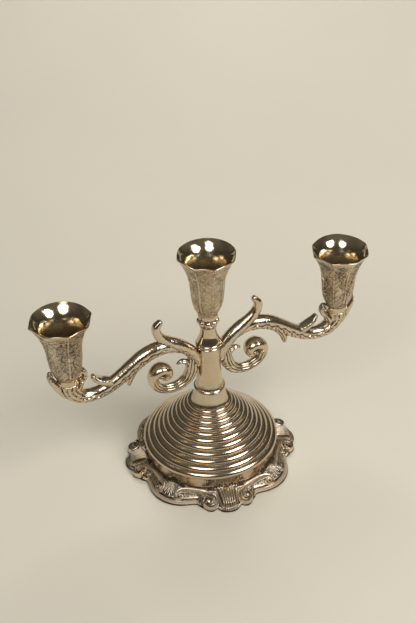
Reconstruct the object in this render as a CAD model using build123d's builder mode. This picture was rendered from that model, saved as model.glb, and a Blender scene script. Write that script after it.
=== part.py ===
from build123d import *
import math
import os

os.makedirs("parts", exist_ok=True)

# Three-light table candelabrum: spun stepped base with a cast rocaille border,
# a turned column held by a tie rod, two cast scroll arms and three tulip cups.
# Frame: origin on the table under the column, +X along the right arm, +Z up, mm.

# ---------------------------------------------------------------- dimensions
ARM_REACH = 116.2          # cup axis to column axis
CUP_RISE = 58.3            # cup height, foot to rim tips
CENTRE_CUP_Z = 142.40      # top of the knop
ARM_CUP_Z = 116.40         # top of the arm's seat
FACE_GAP = 0.05            # axial running gap between pieces that turn
ROD_R = 3.0                # M6 tie rod
ROD_BORE_R = 3.05          # running fit on the rod
ROD_HOLE_R = 3.4           # plain clearance hole for the rod
STUD_R = 2.5               # M5 cup stud
STUD_BORE_R = 2.55
CANDLE_R = 11.25           # seat for a 22 mm candle
SEAT_FLOOR = 18.6          # candle seat floor above the cup's foot
SEAT_TOP = 34.6            # where the seat opens into the tulip
RIM_R = 23.3               # rim, tip to axis
BASE_TURN = -10.6          # how far the base stands turned from the arms
CENTRE_CUP_TURN = -5.0     # how far the centre cup stands turned
BORDER_SEAT_Z = 11.2       # dome foot on the border
WALL = 1.3                 # spun sheet

# outer edge of the border: angle from a shell's middle -> radius, one half period
BORDER_EDGE = [(0, 74.5), (4, 73.7), (7, 71.6), (9, 69.5), (12, 72.1), (15, 71.0),
               (18.5, 68.1), (22, 65.3), (25, 65.8), (28, 67.3), (32, 69.2),
               (36, 70.7), (40.5, 71.7), (45, 72.2)]

# grooves between the turned rings of the dome: radius, height
RING_EDGES = [(15.9, 60.6), (19.0, 57.6), (22.1, 54.5), (25.4, 51.3), (28.8, 48.0),
              (32.6, 44.6), (36.3, 40.7), (40.1, 36.9), (44.1, 33.1), (48.4, 29.4),
              (53.0, 25.8), (56.8, 21.8)]
RING_BULGE = 0.95


def border_point(angle, inset=0.0):
    """Point of the border's outline at an angle in degrees."""
    a = (angle - BASE_TURN) % 90.0
    if a > 45.0:
        a = 90.0 - a
    for (a0, r0), (a1, r1) in zip(BORDER_EDGE, BORDER_EDGE[1:]):
        if a0 <= a <= a1:
            r = r0 + (r1 - r0) * (a - a0) / (a1 - a0)
            break
    r -= inset
    t = math.radians(angle)
    return (r * math.cos(t), r * math.sin(t))


def outline_points(inset=0.0):
    pts = []
    for k in range(4):
        for a, _ in BORDER_EDGE:
            pts.append(border_point(BASE_TURN + 90 * k + a, inset))
        for a, _ in BORDER_EDGE[-2:0:-1]:
            pts.append(border_point(BASE_TURN + 90 * k + 90 - a, inset))
    return pts


# ---------------------------------------------------------------- base_border
# Cast ring: a sloping plate behind a plain lip, hollow below, with fan shells,
# scroll ends and beads standing on it.
with BuildPart() as border_hollow:
    with BuildSketch(Plane.XY):
        with BuildLine():
            Polyline(*outline_points(inset=3.2), close=True)
        make_face()
    extrude(amount=12)
    with BuildSketch(Plane.XZ):
        with BuildLine():
            Polyline((50, -1), (50, 9.0), (57.6, 8.3), (65, 4.9), (71, 2.7), (76, 1.5), (76, -1), close=True)
        make_face()
    revolve(axis=Axis.Z, mode=Mode.INTERSECT)

# relief that stands on the plate: fan shells, scroll ends, raised scroll edges, acanthus lobes
def spot(angle, radius):
    t = math.radians(angle)
    return (radius * math.cos(t), radius * math.sin(t))


with BuildPart() as border_relief:
    with BuildSketch(Plane.XY):
        for quarter in range(4):
            middle = BASE_TURN + 90 * quarter
            # five flutes of the shell, spreading towards the edge
            for flute in (-2, -1, 0, 1, 2):
                with BuildLine():
                    Polyline(spot(middle + 1.5 * flute - 0.5, 58.6), spot(middle + 2.9 * flute - 1.15, 71.1),
                             spot(middle + 2.9 * flute, 74.2 - 0.55 * flute * flute),
                             spot(middle + 2.9 * flute + 1.15, 71.1), spot(middle + 1.5 * flute + 0.5, 58.6),
                             close=True)
                make_face()
            for side in (-1, 1):
                # raised inner edge of the long scroll
                strip = [(13.5, 63.4), (17.0, 60.9), (22.0, 59.4), (28.0, 59.8), (33.0, 61.8), (37.5, 64.6)]
                with BuildLine():
                    Polyline(*[spot(middle + side * a, r) for a, r in strip],
                             *[spot(middle + side * a, r + 1.9) for a, r in reversed(strip)], close=True)
                make_face()
                # acanthus lobes
                with BuildLine():
                    Polyline(spot(middle + 45 - side * 0.8, 59.0), spot(middle + 45 - side * 5.0, 63.6),
                             spot(middle + 45 - side * 4.4, 69.2), spot(middle + 45 - side * 0.8, 65.0), close=True)
                make_face()
        with BuildLine():
            Polyline(*outline_points(inset=0.3), close=True)
        make_face(mode=Mode.INTERSECT)
    extrude(amount=14)
    with BuildSketch(Plane.XZ):
        with BuildLine():
            Polyline((57.9, 1.5), (57.9, 11.0), (60.5, 10.4), (66, 7.9), (72, 5.6), (78, 4.2), (78, 1.5), close=True)
        make_face()
    revolve(axis=Axis.Z, mode=Mode.INTERSECT)

with BuildPart() as border_scroll_ends:
    for height, radius, inset in ((9.0, 4.0, 0.0), (10.0, 1.5, 0.0)):
        with BuildSketch(Plane.XY.offset(1.5)):
            for quarter in range(4):
                for side in (-1, 1):
                    with Locations(spot(BASE_TURN + 90 * quarter + side * 13.8, 66.8)):
                        Circle(radius)
        extrude(amount=height - 1.5)
    with BuildSketch(Plane.XY.offset(1.5)):
        for quarter in range(4):
            for side in (-1, 1):
                with Locations(spot(BASE_TURN + 90 * quarter + side * 20.2, 63.9)):
                    Circle(1.7)
    extrude(amount=7.4)

with BuildPart() as base_border:
    with BuildSketch(Plane.XY):
        with BuildLine():
            Polyline(*outline_points(), close=True)
        make_face()
    extrude(amount=BORDER_SEAT_Z)
    with BuildSketch(Plane.XZ):
        with BuildLine():
            Polyline((53.4, -1), (53.4, BORDER_SEAT_Z), (57.6, BORDER_SEAT_Z), (60, 10.1),
                     (66, 7.1), (72, 4.8), (78, 3.2), (78, -1), close=True)
        make_face()
    revolve(axis=Axis.Z, mode=Mode.INTERSECT)
    add(border_relief.part)
    add(border_scroll_ends.part)
    add(border_hollow.part, mode=Mode.SUBTRACT)
base_border.part.label = "base_border"
export_step(base_border.part, "parts/base_border.step")

# ---------------------------------------------------------------- base_dome
# Spun shell: eleven turned rings down to a plain band, open below.
with BuildPart() as base_dome:
    with BuildSketch(Plane.XZ):
        with BuildLine():
            Line((ROD_HOLE_R, RING_EDGES[0][1]), RING_EDGES[0])
            for (r0, z0), (r1, z1) in zip(RING_EDGES, RING_EDGES[1:]):
                length = math.hypot(r1 - r0, z1 - z0)
                nx, nz = -(z1 - z0) / length, (r1 - r0) / length
                ThreePointArc((r0, z0),
                              ((r0 + r1) / 2 + nx * RING_BULGE, (z0 + z1) / 2 + nz * RING_BULGE),
                              (r1, z1))
            Polyline(RING_EDGES[-1], (56.0, 20.9), (56.0, BORDER_SEAT_Z), (56.0 - WALL, BORDER_SEAT_Z),
                     *[(r - 0.94 * WALL, z - 0.94 * WALL) for r, z in reversed(RING_EDGES[1:])],
                     (15.0, 59.0), (ROD_HOLE_R, 59.0), (ROD_HOLE_R, RING_EDGES[0][1]))
        make_face()
    revolve(axis=Axis.Z)
base_dome.part.label = "base_dome"
export_step(base_dome.part, "parts/base_dome.step")

# ---------------------------------------------------------------- base_collar
# Flared spun collar on top of the dome, closed above by a disc.
COLLAR_TOP = 72.90
with BuildPart() as base_collar:
    with BuildSketch(Plane.XZ):
        with BuildLine():
            Spline((15.8, 60.6), (14.7, 62.6), (13.6, 66.2), (12.9, 69.6), (12.5, COLLAR_TOP))
            Polyline((12.5, COLLAR_TOP), (ROD_HOLE_R, COLLAR_TOP), (ROD_HOLE_R, COLLAR_TOP - 1.6),
                     (11.2, COLLAR_TOP - 1.6), (11.9, 66.0), (13.4, 60.6), (15.8, 60.6))
        make_face()
    revolve(axis=Axis.Z)
base_collar.part.label = "base_collar"
export_step(base_collar.part, "parts/base_collar.step")

# ---------------------------------------------------------------- tie_rod, clamp_washer, clamp_nut
with BuildPart() as tie_rod:
    with BuildSketch(Plane.XY.offset(46.0)):
        Circle(ROD_R)
    extrude(amount=108.0)
    chamfer(tie_rod.edges().filter_by(GeomType.CIRCLE), length=0.6)
tie_rod.part.label = "tie_rod"
export_step(tie_rod.part, "parts/tie_rod.step")

with BuildPart() as clamp_washer:
    with BuildSketch(Plane.XY.offset(56.8)):
        Circle(13.0)
        Circle(3.2, mode=Mode.SUBTRACT)
    extrude(amount=2.2)
clamp_washer.part.label = "clamp_washer"
export_step(clamp_washer.part, "parts/clamp_washer.step")

with BuildPart() as clamp_nut:
    with BuildSketch(Plane.XY.offset(51.8)):
        RegularPolygon(radius=5.77, side_count=6)
        Circle(ROD_R, mode=Mode.SUBTRACT)
    extrude(amount=5.0)
clamp_nut.part.label = "clamp_nut"
export_step(clamp_nut.part, "parts/clamp_nut.step")

# ---------------------------------------------------------------- lower_ring
RING_FOOT = COLLAR_TOP + FACE_GAP
SLEEVE_FOOT = 75.60
with BuildPart() as lower_ring:
    with BuildSketch(Plane.XZ):
        with BuildLine():
            Polyline((ROD_HOLE_R, RING_FOOT), (12.2, RING_FOOT))
            ThreePointArc((12.2, RING_FOOT), (13.2, 74.2), (12.0, SLEEVE_FOOT))
            Polyline((12.0, SLEEVE_FOOT), (ROD_HOLE_R, SLEEVE_FOOT), (ROD_HOLE_R, RING_FOOT))
        make_face()
    revolve(axis=Axis.Z)
lower_ring.part.label = "lower_ring"
export_step(lower_ring.part, "parts/lower_ring.step")

# ---------------------------------------------------------------- column_sleeve
SLEEVE_TOP = 114.2
BUSH_FOOT = 110.0           # underside of the upper centring disc
SLEEVE_WALL = 1.4
SLEEVE_PROFILE = [(11.6, SLEEVE_FOOT), (10.9, 78.2), (10.4, 82.9), (9.95, 88.9), (9.5, 98.0), (9.2, 108.0), (9.15, SLEEVE_TOP)]
with BuildPart() as column_sleeve:
    with BuildSketch(Plane.XZ):
        with BuildLine():
            Spline(*SLEEVE_PROFILE)
            Polyline(SLEEVE_PROFILE[-1], (9.2 - SLEEVE_WALL, SLEEVE_TOP), (9.2 - SLEEVE_WALL, BUSH_FOOT),
                     (8.6, 80.0), (8.6, SLEEVE_FOOT), SLEEVE_PROFILE[0])
        make_face()
    revolve(axis=Axis.Z)
column_sleeve.part.label = "column_sleeve"
export_step(column_sleeve.part, "parts/column_sleeve.step")

# discs that centre the hollow sleeve on the rod
with BuildPart() as sleeve_bush_lower:
    with BuildSketch(Plane.XY.offset(SLEEVE_FOOT)):
        Circle(8.6)
        Circle(ROD_BORE_R, mode=Mode.SUBTRACT)
    extrude(amount=4.4)
sleeve_bush_lower.part.label = "sleeve_bush_lower"
export_step(sleeve_bush_lower.part, "parts/sleeve_bush_lower.step")

with BuildPart() as sleeve_bush_upper:
    with BuildSketch(Plane.XY.offset(BUSH_FOOT)):
        Circle(9.2 - SLEEVE_WALL)
        Circle(ROD_BORE_R, mode=Mode.SUBTRACT)
    extrude(amount=SLEEVE_TOP - BUSH_FOOT)
sleeve_bush_upper.part.label = "sleeve_bush_upper"
export_step(sleeve_bush_upper.part, "parts/sleeve_bush_upper.step")

# ---------------------------------------------------------------- upper_ring
with BuildPart() as upper_ring:
    with BuildSketch(Plane.XZ):
        with BuildLine():
            Polyline((ROD_HOLE_R, SLEEVE_TOP), (9.7, SLEEVE_TOP))
            ThreePointArc((9.7, SLEEVE_TOP), (10.5, 115.3), (9.9, 116.4))
            ThreePointArc((9.9, 116.4), (10.6, 117.8), (9.9, 119.2))
            Polyline((9.9, 119.2), (ROD_HOLE_R, 119.2), (ROD_HOLE_R, SLEEVE_TOP))
        make_face()
    revolve(axis=Axis.Z)
upper_ring.part.label = "upper_ring"
export_step(upper_ring.part, "parts/upper_ring.step")

# ---------------------------------------------------------------- column_neck
with BuildPart() as column_neck:
    with BuildSketch(Plane.XZ):
        with BuildLine():
            Spline((9.75, 119.2), (9.3, 120.9), (8.4, 122.8), (7.15, 126.0), (6.4, 129.6), (6.1, 133.2))
            Polyline((6.1, 133.2), (ROD_HOLE_R, 133.2), (ROD_HOLE_R, 119.2), (9.75, 119.2))
        make_face()
    revolve(axis=Axis.Z)
column_neck.part.label = "column_neck"
export_step(column_neck.part, "parts/column_neck.step")

# ---------------------------------------------------------------- beaded_knop
with BuildPart() as beaded_knop:
    with BuildSketch(Plane.XZ):
        with BuildLine():
            Polyline((ROD_HOLE_R, 133.2), (6.7, 133.2))
            ThreePointArc((6.7, 133.2), (7.2, 134.6), (6.9, 136.0))
            ThreePointArc((6.9, 136.0), (8.3, 138.9), (7.2, 141.4))
            Polyline((7.2, 141.4), (7.2, CENTRE_CUP_Z), (ROD_HOLE_R, CENTRE_CUP_Z), (ROD_HOLE_R, 133.2))
        make_face()
    revolve(axis=Axis.Z)
    with PolarLocations(6.4, 8, start_angle=22.5):
        with Locations((0, 0, 138.9)):
            Sphere(2.75)
    with BuildSketch(Plane.XY.offset(130)):
        Circle(ROD_HOLE_R)
    extrude(amount=20, mode=Mode.SUBTRACT)
beaded_knop.part.label = "beaded_knop"
export_step(beaded_knop.part, "parts/beaded_knop.step")

# ---------------------------------------------------------------- cups
# Tulip cup, drawn about the Z axis with its foot at z = 0.
CUP_OUTER = [(8.0, 0.0), (8.4, 5.3), (11.3, 12.7), (12.9, 23.0), (14.2, 33.3), (16.0, 41.3), (18.6, 48.6)]


def tulip_cup(bore_r, bore_depth, turn):
    """A cup with eight leaf ribs and a lobed rim, tapped at its foot."""
    with BuildPart() as cup:
        with BuildSketch(Plane.XZ):
            with BuildLine():
                Polyline((0, 0), (CUP_OUTER[0]))
                Spline(*CUP_OUTER, (RIM_R, 57.2))
                Polyline((RIM_R, 57.2), (RIM_R - 0.5, CUP_RISE), (RIM_R - 1.4, CUP_RISE))
                Spline((RIM_R - 1.4, CUP_RISE), (19.2, 55.2), (16.2, 51.7), (13.5, 46.9), (12.0, 41.1), (CANDLE_R, SEAT_TOP))
                Polyline((CANDLE_R, SEAT_TOP), (CANDLE_R, SEAT_FLOOR), (7.5, SEAT_FLOOR - 2.6),
                         (0, SEAT_FLOOR - 2.6), (0, 0))
            make_face()
        revolve(axis=Axis.Z)
        # leaf ribs: thin wedges that follow the outer profile
        for k in range(8):
            with BuildSketch(Plane.XZ.rotated((0, 0, turn + 45 * k - 2.5))):
                with BuildLine():
                    Spline((8.9, 6.0), (11.8, 13.0), (13.4, 23.0), (14.7, 33.3), (16.5, 41.3), (19.1, 48.6))
                    Polyline((19.1, 48.6), (18.2, 48.9), (13.6, 33.3), (12.3, 23.0), (10.4, 12.7), (7.6, 6.0), (8.9, 6.0))
                make_face()
            revolve(axis=Axis.Z, revolution_arc=5)
        # lobed rim
        with BuildSketch(Plane.XY.offset(46)):
            with BuildLine():
                pts = []
                for k in range(8):
                    for a, r in ((0, RIM_R), (6, RIM_R - 0.9), (13, RIM_R - 1.7), (22.5, RIM_R - 2.1),
                                 (32, RIM_R - 1.7), (39, RIM_R - 0.9)):
                        t = math.radians(turn + 45 * k + a)
                        pts.append((r * math.cos(t), r * math.sin(t)))
                Polyline(*pts, close=True)
            make_face()
            Circle(40, mode=Mode.ADD)
            with BuildLine():
                Polyline(*pts, close=True)
            make_face(mode=Mode.SUBTRACT)
        extrude(amount=14, mode=Mode.SUBTRACT)
        # tapped hole in the foot
        with BuildSketch(Plane.XY):
            Circle(bore_r)
        extrude(amount=bore_depth, mode=Mode.SUBTRACT)
    return cup.part


with BuildPart() as cup_centre:
    add(tulip_cup(ROD_BORE_R, 12.6, CENTRE_CUP_TURN).moved(Location((0, 0, CENTRE_CUP_Z + FACE_GAP))))
cup_centre.part.label = "cup_centre"
export_step(cup_centre.part, "parts/cup_centre.step")

with BuildPart() as cup_right:
    add(tulip_cup(STUD_BORE_R, 11.0, 0.0).moved(Location((ARM_REACH, 0, ARM_CUP_Z + FACE_GAP))))
cup_right.part.label = "cup_right"
export_step(cup_right.part, "parts/cup_right.step")

with BuildPart() as cup_left:
    add(cup_right.part, rotation=(0, 0, 180))
cup_left.part.label = "cup_left"
export_step(cup_left.part, "parts/cup_left.step")


# ---------------------------------------------------------------- arms
def limb(points, radii, squash=1.0):
    """Round tapering limb in the XZ plane through (x, z) points."""
    with BuildPart() as body:
        n = len(points)
        for i, ((x, z), r) in enumerate(zip(points, radii)):
            a = points[max(i - 1, 0)]
            b = points[min(i + 1, n - 1)]
            direction = Vector(b[0] - a[0], 0, b[1] - a[1])
            with BuildSketch(Plane(origin=(x, 0, z), x_dir=(0, 1, 0), z_dir=direction)):
                Ellipse(r * squash, r)
        loft()
    return body.part


# S-shaped branch from the column to the cup seat
BRANCH = [(11.5, 103.5), (16.4, 113.0), (24.5, 120.4), (34.5, 124.6), (45, 124.6), (55, 121.0), (65, 114.4),
          (75, 107.2), (85, 101.6), (93, 98.6), (101, 98.0), (108.2, 100.2), (113.6, 105.0), (116.2, 110.6)]
BRANCH_R = [4.4, 5.2, 5.6, 6.0, 6.0, 6.0, 5.9, 5.6, 5.4, 5.4, 5.6, 6.0, 6.6, 7.0]
# C-scroll under it, ending in a ball
SCROLL = [(14.0, 108.0), (15.4, 100.0), (16.4, 92.2), (20.2, 86.4), (26.4, 83.0), (33.6, 82.1), (40.8, 84.0),
          (47.2, 88.6), (49.4, 95.6), (47.4, 101.4), (42.6, 104.2)]
SCROLL_R = [4.4, 5.0, 5.0, 4.6, 4.3, 4.3, 4.4, 4.5, 4.5, 4.6, 4.8]
HORN = [(28.6, 124.0), (36.0, 129.0), (41.6, 133.6), (44.6, 139.0), (43.8, 145.0), (40.4, 148.4)]
HORN_R = [3.6, 4.4, 3.8, 3.4, 2.8, 1.9]
DIP_LEAF = [(84.0, 104.0), (90.6, 108.2), (95.2, 112.4), (97.8, 117.0)]
DIP_LEAF_R = [3.4, 2.8, 2.2, 1.2]
DROP_LEAF = [(61.0, 113.6), (65.6, 107.8), (68.0, 102.0), (68.4, 97.4)]
DROP_LEAF_R = [4.2, 3.2, 2.2, 1.1]
INNER_LEAF = [(16.0, 103.4), (21.6, 106.4), (26.6, 105.2)]
INNER_LEAF_R = [2.6, 2.2, 1.2]

with BuildPart() as sleeve_envelope:
    with BuildSketch(Plane.XZ):
        with BuildLine():
            Line((0, SLEEVE_FOOT), SLEEVE_PROFILE[0])
            Spline(*SLEEVE_PROFILE)
            Polyline(SLEEVE_PROFILE[-1], (9.9, SLEEVE_TOP), (10.8, 115.1), (10.9, 117.8), (10.4, 119.2),
                     (9.9, 120.2), (9.2, 122.2), (8.3, 124.4), (0, 124.4), (0, SLEEVE_FOOT))
        make_face()
    revolve(axis=Axis.Z)

with BuildPart() as arm_right:
    add(limb(BRANCH, BRANCH_R))
    add(limb(SCROLL, SCROLL_R))
    with Locations((41.0, 0, 101.6)):
        Sphere(6.9)
    add(limb(HORN, HORN_R))
    add(limb(DIP_LEAF, DIP_LEAF_R))
    add(limb(DROP_LEAF, DROP_LEAF_R))
    add(limb(INNER_LEAF, INNER_LEAF_R))
    # calyx that takes the cup, with its flat seat
    with BuildSketch(Plane.XY.offset(107.4)):
        with Locations((ARM_REACH, 0)):
            Circle(6.6)
    with BuildSketch(Plane.XY.offset(112.2)):
        with Locations((ARM_REACH, 0)):
            Circle(8.0)
    with BuildSketch(Plane.XY.offset(ARM_CUP_Z)):
        with Locations((ARM_REACH, 0)):
            Circle(8.2)
    loft()
    # leaf volutes either side of the cup's foot
    with BuildSketch(Plane.XZ.offset(-2.6)):
        with Locations((103.6, 118.6)):
            Circle(3.8)
    extrude(amount=5.2)
    with BuildSketch(Plane.XZ.offset(-2.2)):
        with BuildLine():
            Polyline((104.0, 115.6), (110.0, 115.2), (110.0, 108.0), (105.0, 112.6), close=True)
        make_face()
    extrude(amount=4.4)
    with BuildSketch(Plane.XZ.offset(-2.6)):
        with Locations((130.6, 126.6)):
            Circle(3.1)
    extrude(amount=5.2)
    with BuildSketch(Plane.XZ.offset(-2.2)):
        with BuildLine():
            Polyline((122.0, 108.8), (127.2, 115.0), (132.4, 124.4), (129.6, 125.6), (126.0, 118.6),
                     (124.6, 115.4), (120.0, 115.0), close=True)
        make_face()
    extrude(amount=4.4)
    # back of the casting fits the column
    add(sleeve_envelope.part, mode=Mode.SUBTRACT)
    # tapped hole for the cup stud
    with BuildSketch(Plane.XY.offset(ARM_CUP_Z)):
        with Locations((ARM_REACH, 0)):
            Circle(STUD_R)
    extrude(amount=-9.0, mode=Mode.SUBTRACT)
arm_right.part.label = "arm_right"
export_step(arm_right.part, "parts/arm_right.step")

with BuildPart() as arm_left:
    add(arm_right.part, rotation=(0, 0, 180))
arm_left.part.label = "arm_left"
export_step(arm_left.part, "parts/arm_left.step")

# ---------------------------------------------------------------- cup studs
with BuildPart() as stud_right:
    with BuildSketch(Plane.XY.offset(ARM_CUP_Z - 9.0)):
        with Locations((ARM_REACH, 0)):
            Circle(STUD_R)
    extrude(amount=18.6)
    chamfer(stud_right.edges().filter_by(GeomType.CIRCLE), length=0.5)
stud_right.part.label = "stud_right"
export_step(stud_right.part, "parts/stud_right.step")

with BuildPart() as stud_left:
    add(stud_right.part, rotation=(0, 0, 180))
stud_left.part.label = "stud_left"
export_step(stud_left.part, "parts/stud_left.step")
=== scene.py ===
import bpy
import math
import numpy as np
from mathutils import Vector, Matrix


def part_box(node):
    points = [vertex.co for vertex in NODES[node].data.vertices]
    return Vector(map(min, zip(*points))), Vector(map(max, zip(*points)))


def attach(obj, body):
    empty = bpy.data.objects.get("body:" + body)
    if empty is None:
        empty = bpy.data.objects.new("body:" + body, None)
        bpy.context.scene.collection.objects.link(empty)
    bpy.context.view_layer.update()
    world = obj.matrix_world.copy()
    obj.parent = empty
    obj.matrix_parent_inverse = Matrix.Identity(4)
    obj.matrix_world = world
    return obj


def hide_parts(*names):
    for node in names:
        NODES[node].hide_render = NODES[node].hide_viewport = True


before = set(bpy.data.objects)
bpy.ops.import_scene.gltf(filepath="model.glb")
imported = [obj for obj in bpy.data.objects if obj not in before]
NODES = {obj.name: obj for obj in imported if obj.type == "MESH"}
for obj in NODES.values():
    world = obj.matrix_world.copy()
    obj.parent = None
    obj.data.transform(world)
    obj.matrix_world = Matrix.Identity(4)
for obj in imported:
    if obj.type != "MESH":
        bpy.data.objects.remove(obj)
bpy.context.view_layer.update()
MM = 0.001
rng = np.random.default_rng(7)

# ------------------------------------------------------------------ frame dimensions, mm
def box_mm(node):
    lo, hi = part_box(node)
    return np.array(lo) * 1000.0, np.array(hi) * 1000.0


lo_r, hi_r = box_mm("cup_right")
ARM_X = (lo_r[0] + hi_r[0]) / 2
ARM_CUP_Z = lo_r[2]
CUP_H = hi_r[2] - lo_r[2]
CENTRE_CUP_Z = box_mm("cup_centre")[0][2]
BASE_TURN = -10.6
CENTRE_TURN = 40.0

# ------------------------------------------------------------------ camera
cam_data = bpy.data.cameras.new("camera")
cam_data.lens = 54.9
cam_data.sensor_width = 36.0
cam_data.clip_start = 0.01
cam = bpy.data.objects.new("camera", cam_data)
bpy.context.scene.collection.objects.link(cam)
CAM_AT = Vector((-0.2321, -0.5609, 0.5721))
CAM_TO = Vector((0.00018, -0.00008, 0.1471))
fwd = (CAM_TO - CAM_AT).normalized()
right = fwd.cross(Vector((0, 0, 1))).normalized()
up = right.cross(fwd)
ROLL = math.radians(1.25)
c_, s_ = math.cos(ROLL), math.sin(ROLL)
right2 = right * c_ - up * s_
up2 = right * s_ + up * c_
m = Matrix((right2, up2, -fwd)).transposed().to_4x4()
m.translation = CAM_AT
cam.matrix_world = m
bpy.context.scene.camera = cam


# ------------------------------------------------------------------ mesh helpers
def build(name, verts, faces, body, mat, stands_for=(), smooth=True, attrs=None):
    """Mesh object from vertices in mm, in the row frame, riding on a CAD body."""
    verts = np.asarray(verts, float)
    me = bpy.data.meshes.new(name)
    if isinstance(faces, np.ndarray):
        nf, k = faces.shape
        me.vertices.add(len(verts))
        me.vertices.foreach_set("co", (verts * MM).astype(np.float32).ravel())
        me.loops.add(nf * k)
        me.loops.foreach_set("vertex_index", faces.astype(np.int32).ravel())
        me.polygons.add(nf)
        me.polygons.foreach_set("loop_start", np.arange(0, nf * k, k, dtype=np.int32))
        me.polygons.foreach_set("loop_total", np.full(nf, k, np.int32))
        me.update(calc_edges=True)
        me.validate()
    else:
        me.from_pydata([tuple(v * MM) for v in verts], [], faces)
        me.update()
    if smooth:
        me.polygons.foreach_set("use_smooth", np.ones(len(me.polygons), bool))
    for key, values in (attrs or {}).items():
        at = me.attributes.new(key, "FLOAT", "POINT")
        at.data.foreach_set("value", np.asarray(values, np.float32))
    ob = bpy.data.objects.new(name, me)
    bpy.context.scene.collection.objects.link(ob)
    me.materials.append(mat)
    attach(ob, body)
    if stands_for:
        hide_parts(*stands_for)
    return ob


def edges_of(faces):
    f = np.asarray(faces)
    e = np.concatenate([f[:, [i, (i + 1) % f.shape[1]]] for i in range(f.shape[1])])
    e.sort(axis=1)
    return np.unique(e, axis=0)


def relax(verts, edges, n, keep=0.0):
    """n rounds of neighbour averaging."""
    v = verts.copy()
    cnt = np.bincount(edges.ravel(), minlength=len(v)).astype(float)
    cnt[cnt == 0] = 1
    for _ in range(n):
        acc = np.empty_like(v)
        for k in range(3):
            acc[:, k] = (np.bincount(edges[:, 0], v[edges[:, 1], k], len(v))
                         + np.bincount(edges[:, 1], v[edges[:, 0], k], len(v)))
        v = v * keep + (acc / cnt[:, None]) * (1 - keep)
    return v


def normals(verts, faces):
    f = np.asarray(faces)
    a, b, c, d = (verts[f[:, i % f.shape[1]]] for i in range(4))
    fn = np.cross(c - a, d - b) if f.shape[1] == 4 else np.cross(b - a, c - a)
    n = np.zeros_like(verts)
    for i in range(f.shape[1]):
        for k in range(3):
            n[:, k] += np.bincount(f[:, i], fn[:, k], len(verts))
    ln = np.linalg.norm(n, axis=1)
    ln[ln == 0] = 1
    return n / ln[:, None]


def cavity(verts, faces, rounds=24, scale=0.25):
    """0 on open surface, towards 1 in recesses, negative on crests, about the size scale in mm."""
    e = edges_of(faces)
    n = normals(verts, faces)
    s = relax(verts, e, rounds, 0.3)
    d = ((s - verts) * n).sum(1)
    return d / scale


def grid_faces(nu, nv, wrap_u=False, wrap_v=False, flip=False):
    """Quads of a nu x nv grid whose vertex (i, j) has the index i*nv+j."""
    iu = np.arange(nu if wrap_u else nu - 1)
    iv = np.arange(nv if wrap_v else nv - 1)
    I, J = np.meshgrid(iu, iv, indexing="ij")
    I2, J2 = (I + 1) % nu, (J + 1) % nv
    f = np.stack([I * nv + J, I2 * nv + J, I2 * nv + J2, I * nv + J2], -1).reshape(-1, 4)
    return f[:, ::-1].copy() if flip else f


def round_profile(pts, d=0.25, n=3, closed=True):
    """Corners of an (r, z) profile rounded by small curves."""
    pts = [np.array(p, float) for p in pts]
    out = []
    m_ = len(pts)
    for i, p in enumerate(pts):
        a, b = pts[i - 1], pts[(i + 1) % m_]
        if not closed and i in (0, m_ - 1):
            out.append(p)
            continue
        la, lb = np.linalg.norm(a - p), np.linalg.norm(b - p)
        if la < 1e-9 or lb < 1e-9:
            continue
        ca = (a - p) / la
        cb = (b - p) / lb
        turn = math.degrees(math.acos(max(-1, min(1, -float(ca @ cb)))))
        if turn < 12:
            out.append(p)
            continue
        da, db = min(d, la * 0.45), min(d, lb * 0.45)
        p0, p2 = p + ca * da, p + cb * db
        for k in range(n + 1):
            t = k / n
            out.append((1 - t) ** 2 * p0 + 2 * t * (1 - t) * p + t * t * p2)
    return np.array(out)


def smooth_curve(pts, n=8):
    """Catmull-Rom samples through open (r, z) or (x, y, z) points."""
    P = np.array(pts, float)
    P = np.vstack([2 * P[0] - P[1], P, 2 * P[-1] - P[-2]])
    out = []
    for i in range(1, len(P) - 2):
        p0, p1, p2, p3 = P[i - 1:i + 3]
        for k in range(n):
            t = k / n
            out.append(0.5 * ((2 * p1) + (-p0 + p2) * t + (2 * p0 - 5 * p1 + 4 * p2 - p3) * t * t
                              + (-p0 + 3 * p1 - 3 * p2 + p3) * t ** 3))
    out.append(P[-2])
    return np.array(out)


def lathe(name, profile, body, mat, stands_for=(), seg=240, at=(0, 0), scale=0.2, rounds=16):
    """Turned piece from a closed (r, z) profile, listed anticlockwise seen with r to the right and z up."""
    pr = np.asarray(profile, float)
    area = 0.5 * np.sum(pr[:, 0] * np.roll(pr[:, 1], -1) - np.roll(pr[:, 0], -1) * pr[:, 1])
    if area < 0:
        pr = pr[::-1]
    th = np.linspace(0, 2 * math.pi, seg, endpoint=False)
    X = pr[None, :, 0] * np.cos(th)[:, None] + at[0]
    Y = pr[None, :, 0] * np.sin(th)[:, None] + at[1]
    Z = np.repeat(pr[None, :, 1], seg, 0)
    v = np.stack([X, Y, Z], -1).reshape(-1, 3)
    f = grid_faces(seg, len(pr), True, True)
    return build(name, v, f, body, mat, stands_for, attrs={"cav": cavity(v, f, rounds, scale)})


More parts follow.
